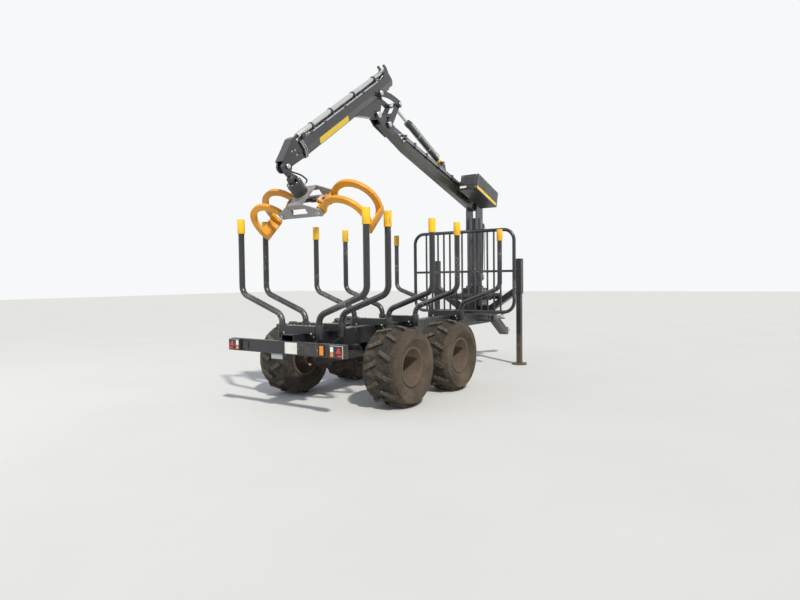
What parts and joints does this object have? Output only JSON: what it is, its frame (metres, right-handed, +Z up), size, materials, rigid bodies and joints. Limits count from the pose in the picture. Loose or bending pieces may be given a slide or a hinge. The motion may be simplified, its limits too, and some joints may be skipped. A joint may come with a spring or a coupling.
{
  "type": "forestry trailer with crane",
  "caption": "Timber trailer on a bogie, with bent stakes, headboard, support legs, steered drawbar and a folding telescopic loading crane with a grapple.",
  "frame": {"origin": "on the floor, half way along, across and at the foot of the whole part", "axes": "+X forward to the towing eye, +Y to the left side, +Z up"},
  "size_m": [6.684, 2.256, 4.662],
  "materials": {
    "tyre": "muddy",
    "rim_paint": "satin",
    "yellow_paint": "gloss, scratched",
    "silver_paint": "satin",
    "lamp": "gloss",
    "rod_chrome": "polished",
    "bare_steel": "worn",
    "cover_plastic": "matt",
    "black_paint": "satin"
  },
  "bodies": {
    "frame": {"main_beam": "black_paint", "bunks": "black_paint", "stake_caps": "yellow_paint", "light_board": "black_paint", "rear_lamps": "lamp", "headboard": "black_paint", "bogie": "black_paint", "leg_beam": "black_paint", "crane_base": "black_paint", "stakes": "black_paint"},
    "wheel_rear_left": {"tyre_rear_left": "tyre", "rim_rear_left": "rim_paint"},
    "wheel_rear_right": {"tyre_rear_right": "tyre", "rim_rear_right": "rim_paint"},
    "wheel_front_left": {"tyre_front_left": "tyre", "rim_front_left": "rim_paint"},
    "wheel_front_right": {"tyre_front_right": "tyre", "rim_front_right": "rim_paint"},
    "leg_left_body": {"leg_left": "bare_steel"},
    "leg_right_body": {"leg_right": "bare_steel"},
    "drawbar_body": {"drawbar": "black_paint", "towing_eye": "bare_steel"},
    "steer_barrel_left_body": {"steer_barrel_left": "black_paint"},
    "steer_rod_left_body": {"steer_rod_left": "rod_chrome"},
    "steer_barrel_right_body": {"steer_barrel_right": "black_paint"},
    "steer_rod_right_body": {"steer_rod_right": "rod_chrome"},
    "column_body": {"column": "black_paint"},
    "boom_body": {"boom": "black_paint", "valve_cover": "cover_plastic"},
    "lift_barrel_body": {"lift_barrel": "black_paint"},
    "lift_rod_body": {"lift_rod": "rod_chrome"},
    "stick_body": {"stick": "black_paint", "extension_barrel": "black_paint"},
    "rocker_body": {"rocker": "black_paint"},
    "link_body": {"link": "black_paint"},
    "stick_barrel_body": {"stick_barrel": "black_paint"},
    "stick_rod_body": {"stick_rod": "rod_chrome"},
    "extension_body": {"extension": "black_paint"},
    "tip_link_body": {"tip_link": "black_paint"},
    "rotator_body": {"rotator": "black_paint"},
    "grapple_body": {"grapple_frame": "silver_paint"},
    "claw_right_body": {"claw_right": "yellow_paint"},
    "claw_left_body": {"claw_left": "yellow_paint"},
    "grip_barrel_body": {"grip_barrel": "black_paint"},
    "grip_rod_body": {"grip_rod": "rod_chrome"}
  },
  "joints": [
    {"name": "wheel_rear_left_spin", "type": "hinge", "parent": "frame", "child": "wheel_rear_left", "pos_m": [-2.2, 0.878, 0.5], "axis": [0, 1, 0], "continuous": true},
    {"name": "wheel_rear_right_spin", "type": "hinge", "parent": "frame", "child": "wheel_rear_right", "pos_m": [-2.2, -0.878, 0.5], "axis": [0, 1, 0], "continuous": true},
    {"name": "wheel_front_left_spin", "type": "hinge", "parent": "frame", "child": "wheel_front_left", "pos_m": [-0.94, 0.878, 0.5], "axis": [0, 1, 0], "continuous": true},
    {"name": "wheel_front_right_spin", "type": "hinge", "parent": "frame", "child": "wheel_front_right", "pos_m": [-0.94, -0.878, 0.5], "axis": [0, 1, 0], "continuous": true},
    {"name": "leg_left_slide", "type": "slide", "parent": "frame", "child": "leg_left_body", "axis": [0, 0, 1], "range_m": [0, 0.42]},
    {"name": "leg_right_slide", "type": "slide", "parent": "frame", "child": "leg_right_body", "axis": [0, 0, 1], "range_m": [0, 0.42]},
    {"name": "steer", "type": "hinge", "parent": "frame", "child": "drawbar_body", "pos_m": [2.23, 0, 0.83], "axis": [0, 0, 1], "range_deg": [-35, 35]},
    {"name": "steer_barrel_left_turn", "type": "hinge", "parent": "frame", "child": "steer_barrel_left_body", "pos_m": [1.83, 0.33, 0.83], "axis": [0, 0, 1], "range_deg": [-11.74, 11.74]},
    {"name": "steer_rod_left_slide", "type": "slide", "parent": "steer_barrel_left_body", "child": "steer_rod_left_body", "axis": [0.9925, -0.1222, 0], "range_m": [-0.1709, 0.1709]},
    {"name": "steer_barrel_right_turn", "type": "hinge", "parent": "frame", "child": "steer_barrel_right_body", "pos_m": [1.83, -0.33, 0.83], "axis": [0, 0, 1], "range_deg": [-11.74, 11.74]},
    {"name": "steer_rod_right_slide", "type": "slide", "parent": "steer_barrel_right_body", "child": "steer_rod_right_body", "axis": [0.9925, 0.1222, 0], "range_m": [-0.1709, 0.1709]},
    {"name": "slew", "type": "hinge", "parent": "frame", "child": "column_body", "pos_m": [1.74, 0, 1.4], "axis": [0, 0, 1], "range_deg": [-190, 190]},
    {"name": "boom_lift", "type": "hinge", "parent": "column_body", "child": "boom_body", "pos_m": [1.74, 0, 2.97], "axis": [0, 1, 0], "range_deg": [-14, 58]},
    {"name": "lift_barrel_turn", "type": "hinge", "parent": "column_body", "child": "lift_barrel_body", "pos_m": [1.985, 0, 1.6], "axis": [0, 1, 0], "range_deg": [-0.77, 1.61]},
    {"name": "lift_rod_slide", "type": "slide", "parent": "lift_barrel_body", "child": "lift_rod_body", "axis": [0.0578, 0, 0.9983], "range_m": [-0.3543, 0.0878]},
    {"name": "stick_fold", "type": "hinge", "parent": "boom_body", "child": "stick_body", "pos_m": [-1.42574, 0, 3.90173], "axis": [0, -1, 0], "range_deg": [-30, 90]},
    {"name": "rocker_turn", "type": "hinge", "parent": "boom_body", "child": "rocker_body", "pos_m": [-1.19014, 0, 3.81675], "axis": [0, -1, 0], "range_deg": [-20.88, 61.63]},
    {"name": "link_turn", "type": "hinge", "parent": "stick_body", "child": "link_body", "pos_m": [-1.4405, 0, 4.1918], "axis": [0, -1, 0], "range_deg": [-48.6, 16.53]},
    {"name": "stick_barrel_turn", "type": "hinge", "parent": "boom_body", "child": "stick_barrel_body", "pos_m": [0.4633, 0, 3.51984], "axis": [0, -1, 0], "range_deg": [-1.27, 2.8]},
    {"name": "stick_rod_slide", "type": "slide", "parent": "stick_barrel_body", "child": "stick_rod_body", "axis": [-0.9131, 0, 0.4078], "range_m": [-0.1415, 0.4185]},
    {"name": "extension_slide", "type": "slide", "parent": "stick_body", "child": "extension_body", "axis": [0.8151, 0, 0.5793], "range_m": [-1.5, 0]},
    {"name": "tip_swing", "type": "hinge", "parent": "extension_body", "child": "tip_link_body", "pos_m": [-3.24523, 0, 2.89207], "axis": [0, 1, 0], "range_deg": [-35, 60]},
    {"name": "side_swing", "type": "hinge", "parent": "tip_link_body", "child": "rotator_body", "pos_m": [-3.12856, 0, 2.7754], "axis": [-0.7071, 0, -0.7071], "range_deg": [-15, 15]},
    {"name": "grapple_turn", "type": "hinge", "parent": "rotator_body", "child": "grapple_body", "pos_m": [-2.973, 0, 2.61983], "axis": [0.7071, 0, -0.7071], "continuous": true},
    {"name": "claw_right_open", "type": "hinge", "parent": "grapple_body", "child": "claw_right_body", "pos_m": [-2.84925, -0.3, 2.49609], "axis": [-0.7071, 0, -0.7071], "range_deg": [-78, 0]},
    {"name": "claw_left_open", "type": "hinge", "parent": "grapple_body", "child": "claw_left_body", "pos_m": [-2.84925, 0.3, 2.49609], "axis": [0.7071, 0, 0.7071], "range_deg": [-78.5, 0.5]},
    {"name": "grip_barrel_turn", "type": "hinge", "parent": "claw_left_body", "child": "grip_barrel_body", "pos_m": [-2.8938, 0.239, 2.54064], "axis": [-0.7071, 0, -0.7071], "range_deg": [-78.5, 0.5]},
    {"name": "grip_rod_slide", "type": "slide", "parent": "grip_barrel_body", "child": "grip_rod_body", "axis": [0, -1, 0], "range_m": [-0.003, 0.2213]}
  ],
  "couplings": [
    {"joint": "steer_barrel_left_turn", "follows": "steer", "ratio": 0.32108},
    {"joint": "steer_rod_left_slide", "follows": "steer", "m_per_rad": -0.27487},
    {"joint": "steer_barrel_right_turn", "follows": "steer", "ratio": 0.32108},
    {"joint": "steer_rod_right_slide", "follows": "steer", "m_per_rad": 0.27487},
    {"joint": "lift_barrel_turn", "follows": "boom_lift", "ratio": 0.01907},
    {"joint": "lift_rod_slide", "follows": "boom_lift", "m_per_rad": -0.34707},
    {"joint": "rocker_turn", "follows": "stick_fold", "ratio": 0.67926},
    {"joint": "link_turn", "follows": "stick_fold", "ratio": -0.53446},
    {"joint": "stick_barrel_turn", "follows": "stick_fold", "ratio": 0.02553},
    {"joint": "stick_rod_slide", "follows": "stick_fold", "m_per_rad": 0.26449},
    {"joint": "claw_left_open", "follows": "claw_right_open", "ratio": 1},
    {"joint": "grip_barrel_turn", "follows": "claw_right_open", "ratio": 1},
    {"joint": "grip_rod_slide", "follows": "claw_right_open", "m_per_rad": -0.16036}
  ]
}
